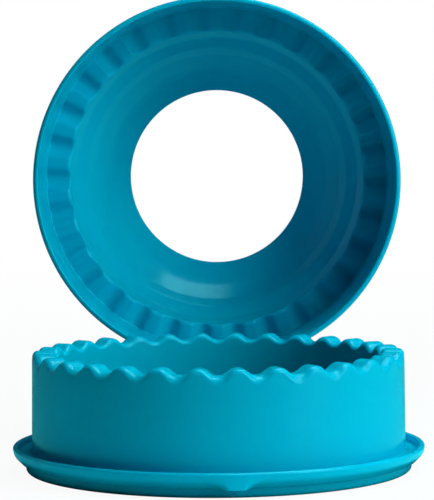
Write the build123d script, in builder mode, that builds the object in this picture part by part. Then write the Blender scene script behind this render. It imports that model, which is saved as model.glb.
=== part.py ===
from build123d import *
import os
from math import radians, tan

# Sandwich cutter and sealer in millimetres, with +Z up and the origin at the centre of the foot on the table.
# The base ring stands on the table. The press ring is shown taken off: it stands up behind the base ring with
# its open side to the front (-Y). Turned face down, it drops over the base ring and is pushed home.

# Scalloped crown of the base ring
crown_radius = 46.0        # outside of the wall at its top
crown_width = 5.7          # width of the crimping band, along its ridges
crown_height = 29.6        # table to the crest of a ridge
wave_height = 2.0          # valley to crest
wave_count = 30
wave_flatness = 0.4        # 0 gives pointed waves, larger values flatter crests and valleys
crown_round = 1.4          # outer edge of the ridges

# Wall of the base ring: two skins under the crown, open below
wall_skin = 1.6
wall_draft = 0.25          # the outside grows by this much from crown to gutter
crown_roof = 1.8           # plastic left under a valley
inner_skin_lift = 1.0      # the inner skin ends this far above the table

# Flange, gutter, lip and foot of the base ring
gutter_width = 3.25
flange_underside = 2.4     # table to the underside of the flange
flange_thickness = 2.0
gutter_chamfer = 0.9       # corner between the gutter floor and the wall
lip_height = 1.8           # gutter floor to the top of the lip
lip_thickness = 1.55
lip_flare = 0.4            # the outside of the lip leans out by this much
lip_top_chamfer = 0.4
lip_underside_chamfer = 1.8
foot_inset = 3.35          # the foot stands this far inside the lip
foot_chamfer = 0.6

# Thumb lug on the lip: widths at its root and tip, which lie this far inside and outside the lip's edge
lug_angle = 4.3            # degrees from the front (-Y) towards +X
lug_drop = 0.6             # top of the lip down to the top of the lug
lug_foot = {"root": 6.5, "tip": 3.6, "inside": 2.5, "reach": 0.7}
lug_head = {"root": 13.0, "tip": 9.0, "inside": 0.7, "reach": 0.15}

# Fits between the two rings with the press ring pushed home
lip_clearance = 0.3        # cutting rim to the inside of the lip
floor_clearance = 0.3      # cutting rim to the gutter floor
crimp_gap = 0.5            # crown to die, where the edge is sealed
bread_gap = 1.3            # wall to skirt, where the trimmed edge lies
die_inset = 0.2            # the die ends this far outside the inside of the crown

# Press ring, with depths measured from the plane of its cutting rim
rim_thickness = 1.3
skirt_draft = 0.2          # the outside shrinks by this much from rim to shoulder
skirt_overlap = 0.6        # the ends of the die's ridges run this far into the skirt
press_wall = 1.6
die_plate = 0.6            # plastic between the flutes and the seat they stand on
shoulder_plate = 2.4       # plastic behind the seat of the die
shoulder_round = 3.0       # outer corner where the skirt turns into the shoulder

# Inside corners of the dome, each as its inset from the inside of the die and its rise above the die's seat
throat_corner = (1.3, 3.2)
foot_corner = (4.3, 6.1)
step_corner = (6.0, 9.2)
knee_corner = (10.3, 15.0)
hole_corner = (16.1, 19.6)
knee_round = 12.0

# Where the press ring is kept, behind the base ring
press_gap = 2.0            # back of the crown to the plane of the cutting rim
press_lift = 20.5          # table to the lowest point of the cutting rim

# How far a cutting shape runs past what it cuts
overcut = 2.0

# Sizes worked out from those above
half_pitch = 180 / wave_count
crown_inner_radius = crown_radius - crown_width
valley_height = crown_height - wave_height
crown_seat = valley_height - crown_round - wave_height / 2
gutter_floor = flange_underside + flange_thickness
wall_foot_radius = crown_radius + wall_draft
lip_inner_radius = wall_foot_radius + gutter_width
lip_radius = lip_inner_radius + lip_thickness
lip_top = gutter_floor + lip_height
foot_radius = lip_radius - foot_inset

press_radius = lip_inner_radius - lip_clearance
die_radius = crown_radius + bread_gap
die_inner_radius = crown_inner_radius + die_inset
die_tip_depth = valley_height + crimp_gap - gutter_floor - floor_clearance
die_flute_depth = die_tip_depth + wave_height
die_seat_depth = die_flute_depth + die_plate
shoulder_back = die_seat_depth + shoulder_plate
dome_corners = ((0, 0), throat_corner, foot_corner, step_corner, knee_corner, hole_corner)
dome_path = [(die_inner_radius - inset, rise) for inset, rise in dome_corners]
dome_knee = dome_path[dome_corners.index(knee_corner)]
skirt_back_radius = press_radius - skirt_draft

press_frame = Plane(
    origin=(0, crown_radius + press_gap, press_radius + press_lift), x_dir=(1, 0, 0), z_dir=(0, 1, 0)
)
press_profile = Plane(origin=press_frame.origin, x_dir=press_frame.x_dir, z_dir=(0, 0, 1))
dome_profile = Plane(
    origin=press_frame.offset(die_seat_depth).origin, x_dir=press_profile.x_dir, z_dir=press_profile.z_dir
)
press_axis = Axis(press_frame.origin, press_frame.z_dir)


def wave_segment(inner_radius, outer_radius, valley, crest, seat):
    """One wave of a fluted band about -Y, from valley to valley, standing on a flat seat."""
    slope = tan(radians(half_pitch))
    with BuildPart() as segment:
        with BuildSketch(Plane.XY.offset(seat)):
            Circle(outer_radius)
            Circle(inner_radius, mode=Mode.SUBTRACT)
            reach = 2 * outer_radius
            spread = reach * slope
            Polygon((0, 0), (-spread, -reach), (spread, -reach), align=None, mode=Mode.INTERSECT)
        extrude(amount=2 * (valley - seat))
        for radius in (inner_radius - overcut, outer_radius + overcut):
            half_width = radius * slope
            handle = wave_flatness * half_width
            with BuildSketch(Plane.XZ.offset(radius)):
                with BuildLine():
                    Bezier((-half_width, valley), (handle - half_width, valley), (-handle, crest), (0, crest))
                    Bezier((0, crest), (handle, crest), (half_width - handle, valley), (half_width, valley))
                    below = 2 * seat - crest
                    Polyline(
                        (half_width, valley), (half_width, below), (-half_width, below), (-half_width, valley)
                    )
                make_face()
        loft(ruled=True, mode=Mode.INTERSECT)
    return segment


# Base ring
with BuildPart() as crown_wave:
    add(wave_segment(crown_inner_radius, crown_radius, valley_height, crown_height, crown_seat).part)
    waving_face = crown_wave.faces().filter_by(GeomType.BSPLINE)[0]
    fillet(waving_face.edges().sort_by(Axis.Y)[0], crown_round)

with BuildPart() as base_ring:
    with BuildSketch(Plane.XZ):
        with BuildLine():
            Polyline(
                (crown_inner_radius, crown_seat),
                (crown_inner_radius, inner_skin_lift),
                (crown_inner_radius + wall_skin, inner_skin_lift),
                (wall_foot_radius - wall_skin, 0),
                (foot_radius - foot_chamfer, 0),
                (foot_radius, foot_chamfer),
                (foot_radius, flange_underside),
                (lip_radius - lip_flare - lip_underside_chamfer, flange_underside),
                (lip_radius - lip_flare, flange_underside + lip_underside_chamfer),
                (lip_radius, lip_top - lip_top_chamfer),
                (lip_radius - lip_top_chamfer, lip_top),
                (lip_inner_radius, lip_top),
                (lip_inner_radius, gutter_floor),
                (wall_foot_radius + gutter_chamfer, gutter_floor),
                (wall_foot_radius, gutter_floor + gutter_chamfer),
                (crown_radius, crown_seat),
                close=True,
            )
        make_face()
    revolve(axis=Axis.Z)
    with PolarLocations(0, wave_count, start_angle=half_pitch):
        add(crown_wave.part)

    # Hollow between the two skins
    with BuildSketch(Plane.XZ):
        with BuildLine():
            Polyline(
                (crown_inner_radius + wall_skin, -overcut),
                (wall_foot_radius - wall_skin, -overcut),
                (wall_foot_radius - wall_skin, gutter_floor),
                (crown_radius - wall_skin, valley_height - crown_roof),
                (crown_inner_radius + wall_skin, valley_height - crown_roof),
                close=True,
            )
        make_face()
    revolve(axis=Axis.Z, mode=Mode.SUBTRACT)

    # Thumb lug, narrow at the underside of the flange, wide and almost flush near the top of the lip
    for height, lug in ((flange_underside, lug_foot), (lip_top - lug_drop, lug_head)):
        with BuildSketch(Plane.XY.rotated((0, 0, lug_angle)).offset(height)):
            with BuildLine():
                Polyline(
                    (-lug["root"] / 2, lug["inside"] - lip_radius),
                    (-lug["tip"] / 2, -lip_radius - lug["reach"]),
                    (lug["tip"] / 2, -lip_radius - lug["reach"]),
                    (lug["root"] / 2, lug["inside"] - lip_radius),
                    close=True,
                )
            make_face()
    loft(ruled=True)
base_ring.part.label = "base_ring"

# Press ring
with BuildPart(press_frame) as press_ring:
    with BuildSketch(press_profile):
        with BuildLine():
            Polyline(
                (press_radius, 0),
                (press_radius - rim_thickness, 0),
                (die_radius, die_seat_depth),
                (die_inner_radius, die_seat_depth),
                (die_inner_radius, shoulder_back),
                (skirt_back_radius - shoulder_round, shoulder_back),
            )
            RadiusArc(
                (skirt_back_radius - shoulder_round, shoulder_back),
                (skirt_back_radius, shoulder_back - shoulder_round),
                shoulder_round,
            )
            Line((skirt_back_radius, shoulder_back - shoulder_round), (press_radius, 0))
        make_face()
    with BuildSketch(dome_profile) as dome:
        with BuildLine():
            Polyline(*dome_path)
            offset(amount=press_wall, side=Side.RIGHT, kind=Kind.INTERSECTION)
        make_face()
        fillet(dome.vertices().sort_by_distance(dome_knee)[1], knee_round + press_wall)
        fillet(dome.vertices().sort_by_distance(dome_knee)[0], knee_round)
    revolve(axis=press_axis)
    die_wave = wave_segment(
        die_inner_radius, die_radius + skirt_overlap, die_tip_depth, die_flute_depth, die_seat_depth
    )
    with PolarLocations(0, wave_count, start_angle=half_pitch):
        add(die_wave.part)
press_ring.part.label = "press_ring"

os.makedirs("parts", exist_ok=True)
for ring in (base_ring, press_ring):
    export_step(ring.part, f"parts/{ring.part.label}.step")
    print(ring.part.label, "solids:", len(ring.solids()), "volume:", round(ring.part.volume / 1000, 2), "cm3")
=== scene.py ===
import math

import bpy
import numpy as np
from mathutils import Matrix, Vector


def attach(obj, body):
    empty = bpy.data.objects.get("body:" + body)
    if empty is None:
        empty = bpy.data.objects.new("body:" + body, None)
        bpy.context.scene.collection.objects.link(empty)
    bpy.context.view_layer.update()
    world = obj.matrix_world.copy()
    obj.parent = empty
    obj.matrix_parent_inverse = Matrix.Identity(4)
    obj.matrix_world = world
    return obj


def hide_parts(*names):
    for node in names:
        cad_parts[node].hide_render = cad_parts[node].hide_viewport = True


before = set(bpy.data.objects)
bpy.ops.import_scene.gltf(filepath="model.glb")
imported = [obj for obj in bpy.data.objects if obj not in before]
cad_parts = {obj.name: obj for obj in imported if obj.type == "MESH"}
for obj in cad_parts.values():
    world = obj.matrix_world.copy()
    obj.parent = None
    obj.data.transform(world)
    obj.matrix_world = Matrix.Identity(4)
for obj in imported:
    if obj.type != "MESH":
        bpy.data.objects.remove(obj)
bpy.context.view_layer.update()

# Sizes of the rings are in millimetres, and become metres in their meshes. All other sizes are in metres.
MM = 0.001
FULL_TURN = 2 * math.pi

# Waves that both rings share
WAVES = 30
WAVE_HEIGHT = 2.0
WAVE_FLATNESS = 0.5
WAVE_SAMPLES = 400

# Crown and wall of the base ring, with the roundings of the crown's edges in a valley and on a crest
CROWN_RADIUS = 46.0
CROWN_INNER = 40.3
CROWN_SEAT = 25.2
VALLEY_HEIGHT = 27.6
CREST_RISE = 1.75
CROWN_INNER_ROUND = (1.0, 1.4)
CROWN_OUTER_ROUND = (2.1, 1.4)
ROOF_HEIGHT = 25.8
WALL_SKIN = 1.6
WALL_FOOT_RADIUS = 46.25
INNER_SKIN_LIFT = 1.0

# Gutter, lip and foot of the base ring
GUTTER_FLOOR = 4.4
LIP_INNER = 49.5
LIP_RADIUS = 51.05
LIP_TOP = 6.2
LIP_FLARE = 0.4
LIP_SLANT = 1.8
FLANGE_UNDERSIDE = 2.4
FOOT_RADIUS = 47.7

# Thumb lug, with values for its foot and its head: their heights, half the width of the front and of the
# root, and how far out the front lies. Above its head the lug fades into the lip.
LUG_ANGLE = math.radians(4.3)
LUG_HEIGHT = (2.4, 5.0)
LUG_FRONT = (1.6, 2.6)
LUG_ROOT = (4.2, 9.2)
LUG_RADIUS = (51.75, 51.2)
LUG_FADE = 1.1
# The lug moves only the lip's outside: points further out than this line, and lower than the flange's
# underside by no more than a hair
LUG_LIMIT_HEIGHTS = (FLANGE_UNDERSIDE - 0.01, GUTTER_FLOOR, LIP_TOP)
LUG_LIMIT_RADII = (48.7, 49.9, 50.4)
HAIR = 0.001

# Press ring, with depths measured from the plane of its cutting rim
PRESS_PLANE = 48.0
PRESS_HEIGHT = 69.7
PRESS_RADIUS = 49.2
RIM_THICKNESS = 1.3
SKIRT_BACK = 49.0
DIE_RADIUS = 47.3
DIE_INNER = 40.5
DIE_TIP = 23.4
DIE_SEAT = 26.0
# Rounding of the die's inner edge on a ridge and in a recess
DIE_INNER_ROUND = (1.3, 0.5)
# The skirt's inside stays round up to this far from the die's tip
DIE_LEAD = 2.5
SHOULDER_BACK = 28.4
SHOULDER_ROUND = 3.0
PRESS_WALL = 1.6
SMALLEST_ROUND = 0.4
# Power that makes the recesses between the die's ridges narrower than the ridges
FLUTE_NARROWING = 1.7
# Corners inside the dome, from the die to the hole: radius, depth and rounding
DOME = [(39.2, 29.2, 2.5), (36.2, 32.1, 3.0), (34.5, 35.2, 3.0), (30.2, 41.0, 12.0), (24.4, 45.6, 0.5)]

# Columns of the meshes round a ring, which stand closer together about the lug
COLUMNS_PER_WAVE = 24
LUG_COLUMNS = math.radians(4) + np.arange(-88, 97) * math.radians(0.125)

# Points of an outline: the most that it turns or runs between two of them, and how far from a rounded corner
# the points that keep its neighbours flat lie
ARC_STEP = math.radians(11)
LONGEST_STEP = 1.6
GUARD = 0.05

# Plastic, whose colour clouds between a darker and a lighter share of the turquoise
TURQUOISE = (0.0, 0.48, 0.68)
TURQUOISE_SHARES = ((1.0, 0.93, 0.945), (1.0, 1.07, 1.055))
REFRACTION = 1.49
SPECULAR = 0.3
SPECULAR_TINT = (0.25, 0.9, 1.0)
SCATTERING = 1.0
SCATTER_REACH = (0.1, 0.8, 1.0)
SCATTER_SCALE = 0.0005
SMEAR_BAND = (0.3, 0.7)
SMEAR_ROUGHNESS = (0.16, 0.27)
SCRATCH_BAND = (0.60, 0.74)
SCRATCH_ROUGHNESS = 0.06
SCRATCH_RELIEF = 0.18
TURNING_RELIEF = 0.35
RELIEF_DEPTH = 0.000007
FLOW_SHARE = 0.4
CLOUD_SHARE = 0.4
GRAIN_SHARE = 0.2

# Floor. The light it throws back onto the rings is painted by distance from the origin: painted shade, black
# under the base ring's lip, then a painted pool of bright bounce in a band round the ring, and half as bright
# further out. Its glow changes over a band of distances.
FLOOR_HALF = 30.0
FLOOR_WHITE = (0.85, 0.85, 0.85)
FLOOR_BOUNCE = (0.2, 1.0, 1.0)
PAINTED_BOUNCE_LEVELS = [(0.0505, 0.0), (0.0545, 1.0), (0.072, 1.0), (0.1, 0.5)]
GLOW_BAND = (0.1, 0.8)
GLOW_LEVELS = (0.94, 1.0)

# Soft light. A lamp's row is its azimuth from the front towards +X, its elevation, its distance from the
# point that all lamps aim at, its size, its power and its colour.
AMBIENT = 0.02
AMBIENT_COLOR = (0.3, 0.95, 1.0)
AIM = Vector((0, 0.02, 0.05))
LAMPS = {
    "key": (57, 12, 1.0, 0.5, 3.9, (0.5, 1, 0.97)),
    "near_key": (56, 38, 0.352, 0.16, 0.56, (0.5, 1, 0.97)),
    "back_left": (-120, 16, 1.0, 0.8, 0.35, (0.5, 0.97, 1)),
    "top": (100, 76, 1.0, 0.6, 7.2, (0.5, 1, 1)),
}

# Camera, with how far it looks down and how far it is turned about its line of sight
CAMERA_PLACE = (-0.0001, -0.5753, 0.0875)
CAMERA_DOWN = 0.0582
CAMERA_ROLL = -0.0072
CAMERA_LENS = 168.0
CAMERA_SENSOR = 36


def wave(angle):
    """Height of the waves at each angle, from 0 in a valley to 1 on a crest. A valley lies at angle 0.

    Each side of a crest is a cubic curve with level ends, sampled as places and heights.
    """
    t = np.linspace(0, 1, WAVE_SAMPLES)
    s = 1 - t
    place = -(s**3) - 3 * (1 - WAVE_FLATNESS) * s * s * t - 3 * WAVE_FLATNESS * s * t * t
    height = 3 * s * t * t + t**3
    pitch = FULL_TURN / WAVES
    from_crest = np.abs(((angle / pitch) % 1.0) - 0.5) * 2
    return np.interp(-from_crest, place, height)


def turning(before, here, after):
    """Signed angle by which a path through three points turns at the middle one."""
    into, away = here - before, after - here
    return math.atan2(into.x * away.y - into.y * away.x, into.dot(away))


def rounded_corner(before, here, after, rounding, steps):
    """Points round a corner, with one more just before and just after it to keep the faces beside it flat."""
    into, away = (here - before).normalized(), (after - here).normalized()
    turn = turning(before, here, after)
    reach = rounding * math.tan(abs(turn) / 2)
    start = here - into * reach
    centre = start + Vector((-into.y, into.x)) * math.copysign(rounding, turn)
    arm = start - centre
    points = [start - into * GUARD]
    points += [centre + Matrix.Rotation(turn * step / steps, 2) @ arm for step in range(steps + 1)]
    return points + [here + away * (reach + GUARD)]


def crest_corner(corner):
    """Place and rounding of a corner on a crest: its own if it has them, and otherwise those of a valley."""
    radius, height, rounding, *on_crest = corner
    lift, rounding = on_crest or (0, rounding)
    return Vector((radius, height + lift)), rounding


def outline(corners):
    """Closed outline of a ring in its valleys and on its crests, with as many points in both.

    A corner is its radius, height and rounding. One on the waves also has its lift and rounding on a crest.
    """
    valley = [(Vector(corner[:2]), corner[2]) for corner in corners]
    crest = [crest_corner(corner) for corner in corners]
    rows = ([], [])
    for i in range(len(corners)):
        after = (i + 1) % len(corners)
        turn = abs(turning(valley[i - 1][0], valley[i][0], valley[after][0]))
        steps = max(2, math.ceil(turn / ARC_STEP))
        for row, points in zip(rows, (valley, crest)):
            here, rounding = points[i]
            if rounding:
                row.extend(rounded_corner(points[i - 1][0], here, points[after][0], rounding, steps))
            else:
                row.append(here)

    # A long run is divided into parts, as many in a valley as on a crest
    dense = ([], [])
    for i in range(len(rows[0])):
        ends = [(row[i], row[(i + 1) % len(row)]) for row in rows]
        parts = max(1, math.ceil(max((last - first).length for first, last in ends) / LONGEST_STEP))
        for row, (first, last) in zip(dense, ends):
            row.extend(first.lerp(last, part / parts) for part in range(parts))
    return np.array(dense)


def swept(outlines, angles, narrowing=1.0):
    """Radius and height of an outline's points, one row for each angle. A power over 1 narrows the crests."""
    valley, crest = outlines
    share = wave(angles)[:, None, None] ** narrowing
    grid = valley[None] + (crest - valley)[None] * share
    return grid[..., 0], grid[..., 1]


def ring_mesh(name, x, y, z, body, node, material):
    """A closed ring from grids of coordinates, one row for each angle. It stands for a node of the frame."""
    columns, points = x.shape
    xyz = np.stack([x, y, z], axis=-1).reshape(-1, 3) * MM
    column, point = np.arange(columns)[:, None], np.arange(points)[None, :]
    next_column, next_point = (column + 1) % columns, (point + 1) % points
    quads = np.stack(
        [
            column * points + point,
            column * points + next_point,
            next_column * points + next_point,
            next_column * points + point,
        ],
        axis=-1,
    )
    mesh = bpy.data.meshes.new(name)
    mesh.from_pydata(xyz.tolist(), [], quads.reshape(-1, 4).tolist())
    mesh.validate()
    mesh.shade_smooth()
    mesh.materials.append(material)
    piece = bpy.data.objects.new(name, mesh)
    bpy.context.scene.collection.objects.link(piece)
    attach(piece, body)
    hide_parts(node)


class Shading:
    """The nodes of a material or of the world. A node takes plain values or the outputs of other nodes."""

    def __init__(self, owner):
        owner.use_nodes = True
        self.nodes = owner.node_tree.nodes
        self.links = owner.node_tree.links

    def feed(self, node, values):
        """Sets a node's sockets, given by name or number, or links them."""
        for socket, value in values.items():
            if isinstance(value, bpy.types.NodeSocket):
                self.links.new(value, node.inputs[socket])
            else:
                node.inputs[socket].default_value = value

    def add(self, kind, values=None, **settings):
        """A new node with its own settings and the values of its sockets."""
        node = self.nodes.new("ShaderNode" + kind)
        for setting, value in settings.items():
            setattr(node, setting, value)
        self.feed(node, values or {})
        return node

    def number(self, operation, *values):
        """A number worked out from one to three others."""
        return self.add("Math", dict(enumerate(values)), operation=operation).outputs[0]

    def vector(self, operation, *values):
        """A vector worked out from one or two others."""
        return self.add("VectorMath", dict(enumerate(values)), operation=operation).outputs["Vector"]

    def measure(self, operation, *vectors):
        """A number worked out from one or two vectors."""
        return self.add("VectorMath", dict(enumerate(vectors)), operation=operation).outputs["Value"]

    def scaled(self, vector, scale):
        return self.add("VectorMath", {0: vector, "Scale": scale}, operation="SCALE").outputs["Vector"]

    def noise(self, place, scale, detail, roughness=0.5, fourth=None):
        """Noise of a place in space, and of a fourth number where one is given."""
        dimensions = "3D" if fourth is None else "4D"
        node = self.add("TexNoise", {"Vector": place, "Scale": scale}, noise_dimensions=dimensions)
        self.feed(node, {"Detail": detail, "Roughness": roughness})
        if fourth is not None:
            self.feed(node, {"W": fourth})
        return node.outputs["Fac"]

    def ramp(self, value, band, levels):
        """A number that goes from the first level to the second as another crosses a band."""
        node = self.add("MapRange", {"Value": value, "From Min": band[0], "From Max": band[1]})
        self.feed(node, {"To Min": levels[0], "To Max": levels[1]})
        return node.outputs["Result"]

    def mixed_colors(self, factor, first, second):
        node = self.add("Mix", {"Factor": factor, "A": first, "B": second}, data_type="RGBA")
        return node.outputs["Result"]

    def mixed_shaders(self, factor, first, second):
        return self.add("MixShader", {"Fac": factor, 1: first, 2: second}).outputs[0]

    def seen_by_camera(self):
        return self.add("LightPath").outputs["Is Camera Ray"]

    def place(self):
        """Where a point lies on the piece, in metres."""
        return self.add("TexCoord").outputs["Object"]


def plastic(name, centre, axis):
    """Glossy turquoise plastic, with the marks of the mould's flow and polish laid round the ring's axis."""
    material = bpy.data.materials.new(name)
    shading = Shading(material)
    bsdf = shading.nodes["Principled BSDF"]
    shading.feed(
        bsdf,
        {
            "IOR": REFRACTION,
            "Specular IOR Level": SPECULAR,
            "Specular Tint": (*SPECULAR_TINT, 1),
            "Subsurface Weight": SCATTERING,
            "Subsurface Radius": SCATTER_REACH,
            "Subsurface Scale": SCATTER_SCALE,
        },
    )

    # Place along the axis, distance from it and direction out from it
    place = shading.place()
    arm = shading.vector("SUBTRACT", place, centre)
    along = shading.measure("DOT_PRODUCT", arm, axis)
    out = shading.vector("MULTIPLY", arm, tuple(1.0 - share for share in axis))
    radius = shading.measure("LENGTH", out)
    way = shading.vector("NORMALIZE", out)

    def marks(across, lengthwise, detail, roughness=0.5):
        """Noise in marks that run round the ring, this fine across them and along their length."""
        level = shading.scaled(axis, shading.number("MULTIPLY", along, across))
        spot = shading.vector("ADD", shading.scaled(way, lengthwise), level)
        return shading.noise(spot, 1.0, detail, roughness, fourth=shading.number("MULTIPLY", radius, across))

    # Colour: clouding of the pigment, streaks where the melt flowed, and fine grain
    flow = marks(across=420.0, lengthwise=2.2, detail=4, roughness=0.55)
    cloud = shading.noise(place, scale=38, detail=3)
    grain = shading.noise(place, scale=2100, detail=2)
    tone = shading.number("MULTIPLY", grain, GRAIN_SHARE)
    tone = shading.number("MULTIPLY_ADD", cloud, CLOUD_SHARE, tone)
    tone = shading.number("MULTIPLY_ADD", flow, FLOW_SHARE, tone)
    ends = [(*[part * share for part, share in zip(TURQUOISE, shares)], 1) for shares in TURQUOISE_SHARES]
    shading.feed(bsdf, {"Base Color": shading.mixed_colors(tone, *ends)})

    # Gloss: handling smears and hair-fine polishing scratches
    scratch = marks(across=5200.0, lengthwise=5.0, detail=3, roughness=0.6)
    scratch = shading.ramp(scratch, SCRATCH_BAND, (0.0, 1.0))
    smear = shading.noise(place, scale=95, detail=5, roughness=0.62)
    smear = shading.ramp(smear, SMEAR_BAND, SMEAR_ROUGHNESS)
    shading.feed(bsdf, {"Roughness": shading.number("MULTIPLY_ADD", scratch, SCRATCH_ROUGHNESS, smear)})

    # Relief: orange peel, faint rings left by the mould's turning, and the scratches
    turned = marks(across=1500.0, lengthwise=1.2, detail=2)
    peel = shading.noise(place, scale=780, detail=2)
    relief = shading.number("SUBTRACT", peel, shading.number("MULTIPLY", scratch, SCRATCH_RELIEF))
    relief = shading.number("MULTIPLY_ADD", turned, TURNING_RELIEF, relief)
    bump = shading.add("Bump", {"Strength": 1.0, "Distance": RELIEF_DEPTH, "Height": relief})
    shading.feed(bsdf, {"Normal": bump.outputs["Normal"]})
    return material


def between(share, low, high):
    """Value this share of the way from low to high."""
    return low + (high - low) * share


def with_lug(radii, heights, angles):
    """The base ring's radii with the lug on the lip's outside, narrow at its foot and wide at its head."""
    up = np.clip((heights - LUG_HEIGHT[0]) / (LUG_HEIGHT[1] - LUG_HEIGHT[0]), 0, 1)
    turned = (angles[:, None] - LUG_ANGLE + math.pi) % FULL_TURN - math.pi
    from_middle = np.abs(turned) * LIP_RADIUS
    front, root = between(up, *LUG_FRONT), between(up, *LUG_ROOT)
    share = np.clip((root - from_middle) / (root - front), 0, 1)
    share = share * share * (3 - 2 * share)
    share *= np.clip((LUG_HEIGHT[1] + LUG_FADE - heights) / LUG_FADE, 0, 1)
    outside = radii > np.interp(heights, LUG_LIMIT_HEIGHTS, LUG_LIMIT_RADII)
    outside &= heights > FLANGE_UNDERSIDE - HAIR
    return np.where(outside, radii + np.maximum(between(up, *LUG_RADIUS) - radii, 0) * share, radii)


def moved_out(corners, distance):
    """Corners of the other side of a wall, to the right of the way they run, with roundings to match."""
    points = [Vector(corner[:2]) for corner in corners]
    ways = [(last - first).normalized() for first, last in zip(points, points[1:])]
    sides = [Vector((way.y, -way.x)) * distance for way in ways]
    moved = []
    for i, point in enumerate(points):
        first, last = max(i - 1, 0), min(i, len(ways) - 1)
        half = (sides[first] + sides[last]) / 2
        turns_out = ways[first].cross(ways[last]) > 0
        rounding = corners[i][2] + (distance if turns_out else -distance)
        moved.append((*(point + half * (distance**2 / half.length_squared)), max(rounding, SMALLEST_ROUND)))
    return moved


def lamp(name, azimuth, elevation, distance, size, power, color):
    """Square soft lamp that the camera doesn't see."""
    data = bpy.data.lights.new(name, "AREA")
    data.size = size
    data.energy = power
    data.color = color
    turn, rise = math.radians(azimuth), math.radians(elevation)
    arm = Vector((math.sin(turn) * math.cos(rise), -math.cos(turn) * math.cos(rise), math.sin(rise)))
    light = bpy.data.objects.new(name, data)
    light.location = AIM + arm * distance
    light.rotation_euler = arm.to_track_quat("Z", "Y").to_euler()
    light.visible_camera = False
    bpy.context.scene.collection.objects.link(light)


base_plastic = plastic("base_plastic", (0.0, 0.0, 0.0), (0.0, 0.0, 1.0))
press_plastic = plastic("press_plastic", (0.0, PRESS_PLANE * MM, PRESS_HEIGHT * MM), (0.0, 1.0, 0.0))
angles = np.arange(WAVES * COLUMNS_PER_WAVE) * (FULL_TURN / (WAVES * COLUMNS_PER_WAVE))

# Base ring: angles run from the front (-Y) towards +X, and a valley lies at the front
base_angles = np.unique(np.round(np.concatenate([angles, np.mod(LUG_COLUMNS, FULL_TURN)]), 6))
base_outlines = outline(
    [
        (CROWN_INNER, INNER_SKIN_LIFT, 0.4),
        (CROWN_INNER, CROWN_SEAT, 0),
        (CROWN_INNER, VALLEY_HEIGHT, CROWN_INNER_ROUND[0], CREST_RISE, CROWN_INNER_ROUND[1]),
        (CROWN_RADIUS, VALLEY_HEIGHT, CROWN_OUTER_ROUND[0], CREST_RISE, CROWN_OUTER_ROUND[1]),
        (CROWN_RADIUS, CROWN_SEAT, 0),
        (WALL_FOOT_RADIUS, GUTTER_FLOOR, 0.9),
        (LIP_INNER, GUTTER_FLOOR, 0.3),
        (LIP_INNER, LIP_TOP, 0.45),
        (LIP_RADIUS, LIP_TOP, 0.6),
        (LIP_RADIUS - LIP_FLARE, FLANGE_UNDERSIDE + LIP_SLANT, 2.2),
        (LIP_RADIUS - LIP_FLARE - LIP_SLANT, FLANGE_UNDERSIDE, 0.4),
        (FOOT_RADIUS, FLANGE_UNDERSIDE, 0.3),
        (FOOT_RADIUS, 0, 0.8),
        (WALL_FOOT_RADIUS - WALL_SKIN, 0, 0.25),
        (WALL_FOOT_RADIUS - WALL_SKIN, GUTTER_FLOOR, 0),
        (CROWN_RADIUS - WALL_SKIN, ROOF_HEIGHT, 0.5),
        (CROWN_INNER + WALL_SKIN, ROOF_HEIGHT, 0.5),
        (CROWN_INNER + WALL_SKIN, INNER_SKIN_LIFT, 0.4),
    ]
)
radii, heights = swept(base_outlines, base_angles)
radii = with_lug(radii, heights, base_angles)
turn = base_angles[:, None]
ring_mesh(
    "base_ring_moulding",
    radii * np.sin(turn),
    -radii * np.cos(turn),
    heights,
    "base",
    "base_ring",
    base_plastic,
)

# Press ring: angles run from the top (+Z) towards +X, and depths run back along +Y. The dome's back is one
# wall behind its inside, and its last run goes on to the back of the shoulder.
dome_back = moved_out([(DIE_INNER, DIE_SEAT, 0.5), *DOME], PRESS_WALL)[:0:-1]
foot, above = Vector(dome_back[-1][:2]), Vector((DIE_INNER + PRESS_WALL, DIE_SEAT))
foot += (foot - above) * (SHOULDER_BACK - foot.y) / (foot.y - above.y)
press_outlines = outline(
    [
        (PRESS_RADIUS, 0, 0.88),
        (PRESS_RADIUS - RIM_THICKNESS, 0, 0.3),
        (DIE_RADIUS, DIE_TIP - DIE_LEAD, 0),
        (DIE_RADIUS, DIE_TIP, 0.4, WAVE_HEIGHT, 0.4),
        (DIE_INNER, DIE_TIP, DIE_INNER_ROUND[0], WAVE_HEIGHT, DIE_INNER_ROUND[1]),
        (DIE_INNER, DIE_SEAT, 0.4),
        *DOME,
        *dome_back,
        (*foot, 1.0),
        (SKIRT_BACK, SHOULDER_BACK, SHOULDER_ROUND),
    ]
)
radii, depths = swept(press_outlines, angles, FLUTE_NARROWING)
turn = angles[:, None]
ring_mesh(
    "press_ring_moulding",
    radii * np.sin(turn),
    PRESS_PLANE + depths,
    PRESS_HEIGHT + radii * np.cos(turn),
    "press",
    "press_ring",
    press_plastic,
)

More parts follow.
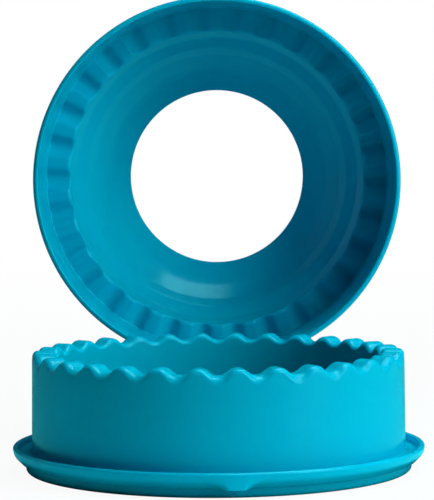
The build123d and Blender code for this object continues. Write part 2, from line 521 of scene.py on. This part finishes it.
# Floor: plain and pale, with the rings' shadow. The camera sees it lighter than the rings do.
floor_material = bpy.data.materials.new("floor")
shading = Shading(floor_material)
shading.nodes.remove(shading.nodes["Principled BSDF"])
seen = shading.seen_by_camera()
distance = shading.measure("LENGTH", shading.place())
# Painted shade and light in the floor's bounce, which only rays other than the camera's meet: black under the
# base ring's lip, bright in a band round the ring
painted_bounce = shading.add("ValToRGB", {"Fac": distance})
while len(painted_bounce.color_ramp.elements) < len(PAINTED_BOUNCE_LEVELS):
    painted_bounce.color_ramp.elements.new(0.5)
for stop, (position, level) in zip(painted_bounce.color_ramp.elements, PAINTED_BOUNCE_LEVELS):
    stop.position = position
    stop.color = (*[share * level for share in FLOOR_BOUNCE], 1)
floor_color = shading.mixed_colors(seen, painted_bounce.outputs["Color"], (*FLOOR_WHITE, 1))
matte = shading.add("BsdfDiffuse", {"Color": floor_color})
glow_share = shading.number("MULTIPLY", seen, shading.ramp(distance, GLOW_BAND, GLOW_LEVELS))
floor_shader = shading.mixed_shaders(glow_share, matte.outputs[0], shading.add("Emission").outputs[0])
shading.feed(shading.nodes["Material Output"], {"Surface": floor_shader})

floor_mesh = bpy.data.meshes.new("floor")
floor_corners = [(x * FLOOR_HALF, y * FLOOR_HALF, 0) for x, y in ((-1, -1), (1, -1), (1, 1), (-1, 1))]
floor_mesh.from_pydata(floor_corners, [], [(0, 1, 2, 3)])
floor_mesh.materials.append(floor_material)
floor = bpy.data.objects.new("floor", floor_mesh)
bpy.context.scene.collection.objects.link(floor)

# World: a faint ambient light, and white where the camera looks past the floor
world = bpy.data.worlds.new("studio")
bpy.context.scene.world = world
shading = Shading(world)
ambient = shading.nodes["Background"]
shading.feed(ambient, {"Color": (*AMBIENT_COLOR, 1), "Strength": AMBIENT})
white = shading.add("Background", {"Color": (1, 1, 1, 1)})
sky = shading.mixed_shaders(shading.seen_by_camera(), ambient.outputs[0], white.outputs[0])
shading.feed(shading.nodes["World Output"], {"Surface": sky})

for lamp_name, settings in LAMPS.items():
    lamp(lamp_name, *settings)

# Camera at the photograph's viewing angle
camera_data = bpy.data.cameras.new("camera")
camera_data.sensor_width = CAMERA_SENSOR
camera_data.lens = CAMERA_LENS
camera = bpy.data.objects.new("camera", camera_data)
tilt = Matrix.Rotation(math.pi / 2 - CAMERA_DOWN, 4, "X")
camera.matrix_world = Matrix.Translation(CAMERA_PLACE) @ tilt @ Matrix.Rotation(CAMERA_ROLL, 4, "Z")
bpy.context.scene.collection.objects.link(camera)
bpy.context.scene.camera = camera
bpy.context.scene.view_settings.view_transform = "Standard"
